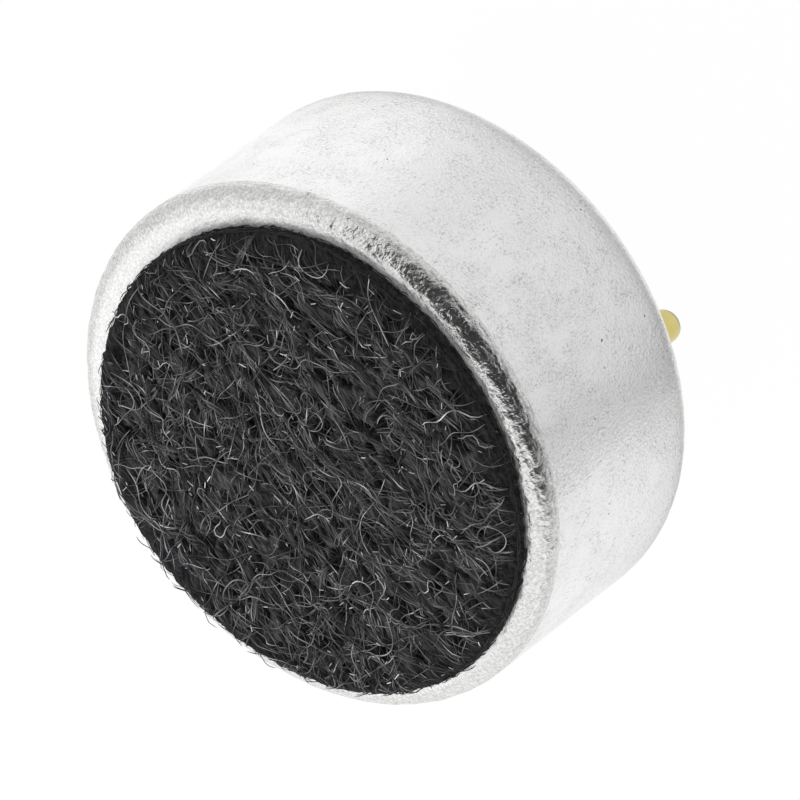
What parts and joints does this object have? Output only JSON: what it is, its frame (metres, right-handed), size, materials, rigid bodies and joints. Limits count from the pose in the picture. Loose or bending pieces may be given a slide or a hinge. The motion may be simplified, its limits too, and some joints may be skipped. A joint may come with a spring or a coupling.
{
  "type": "electret microphone capsule",
  "caption": "Round aluminium microphone capsule with a felt dust cover on its front and terminal pins behind, holding a diaphragm, an electret back plate and a small amplifier board.",
  "frame": {"origin": "on the can's axis, at the flat rear seat of its crimped lip", "axes": "+Z along the can's axis towards the felt, X along the line through the terminal pins, which lie on the -Y side of the axis"},
  "size_m": [0.0098, 0.0096, 0.008],
  "materials": {
    "can_aluminium": "frosted, with fine pits",
    "black_felt": "non-woven fibres",
    "adhesive": "dull",
    "ring_brass": "satin",
    "metallised_film": "mirror-like metallised film",
    "clear_film": "smooth film",
    "holder_plastic": "moulded",
    "board": "green solder resist over glass laminate",
    "foil": "bare copper foil",
    "tinned_foil": "tinned",
    "tinned_metal": "tinned",
    "chip_plastic": "moulded",
    "ceramic": "fired ceramic",
    "gold_plate": "thin gold plate",
    "solder": "bright solder"
  },
  "bodies": {
    "root": {"can": "can_aluminium", "felt_disc": "black_felt", "felt_adhesive": "adhesive", "diaphragm_ring": "ring_brass", "diaphragm_film": "metallised_film", "spacer": "clear_film", "electret_film": "clear_film", "back_plate": "ring_brass", "plate_holder": "holder_plastic", "gate_ring": "ring_brass", "pcb": "board", "inner_copper": "foil", "rear_copper": "tinned_foil", "jfet_body": "chip_plastic", "jfet_leads": "tinned_metal", "capacitor_a": "ceramic", "capacitor_a_ends": "tinned_metal", "capacitor_b": "ceramic", "capacitor_b_ends": "tinned_metal", "output_pin": "gold_plate", "ground_pin": "gold_plate", "output_solder": "solder", "ground_solder": "solder"}
  },
  "joints": []
}
